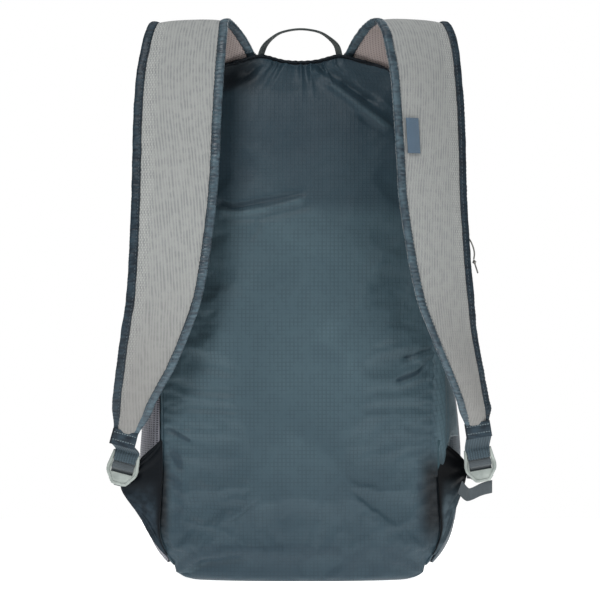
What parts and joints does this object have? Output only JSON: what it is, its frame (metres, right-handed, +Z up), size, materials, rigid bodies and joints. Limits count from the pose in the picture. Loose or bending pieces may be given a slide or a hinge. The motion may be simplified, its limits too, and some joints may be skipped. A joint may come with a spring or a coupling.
{
  "type": "hiking backpack",
  "caption": "Light packable daypack of thin ripstop cloth with a zip over its top, mesh side pockets, two mesh-padded shoulder straps with ladderlock buckles, and a grab loop",
  "frame": {"origin": "middle of the flat base on which the filled bag stands", "axes": "+Z up, -Y towards the harness side that lies on the wearer's back, +X to the right as the harness side is seen"},
  "size_m": [0.3612, 0.2181, 0.5225],
  "materials": {
    "body_cloth": "thin silky ripstop nylon, slate teal",
    "trim_cloth": "folded nylon binding tape, dark slate",
    "wing_cloth": "dark nylon cloth, doubled",
    "spacer_mesh": "pale grey knitted spacer mesh, matt",
    "pocket_mesh": "purple grey stretch mesh with a small square dot grid",
    "webbing": "ribbed nylon webbing, dark slate",
    "buckle": "pale grey moulded acetal, satin",
    "label_cloth": "folded woven tape, blue grey, plain",
    "cord": "thin braided cord, grey"
  },
  "bodies": {
    "root": {"back_panel": "body_cloth", "front_panel": "body_cloth", "side_panel_left": "body_cloth", "side_panel_right": "body_cloth", "top_panel": "body_cloth", "base_panel": "body_cloth", "top_hem": "trim_cloth", "mesh_pocket_left": "pocket_mesh", "mesh_pocket_right": "pocket_mesh", "pocket_hem_left": "trim_cloth", "pocket_hem_right": "trim_cloth", "main_zip": "trim_cloth", "zip_slider": "buckle", "strap_pad_left": "spacer_mesh", "strap_pad_right": "spacer_mesh", "strap_binding_inner_left": "trim_cloth", "strap_binding_inner_right": "trim_cloth", "strap_binding_outer_left": "trim_cloth", "strap_binding_outer_right": "trim_cloth", "strap_end_left": "trim_cloth", "strap_end_right": "trim_cloth", "end_webbing_left": "webbing", "end_webbing_right": "webbing", "ladderlock_left": "buckle", "ladderlock_right": "buckle", "adjuster_left": "webbing", "adjuster_right": "webbing", "anchor_webbing_right": "webbing", "adjuster_tail_right": "webbing", "wing_left": "wing_cloth", "wing_right": "wing_cloth", "grab_loop": "webbing", "side_label": "label_cloth", "pull_cord": "cord", "cord_knot": "cord"}
  },
  "joints": []
}
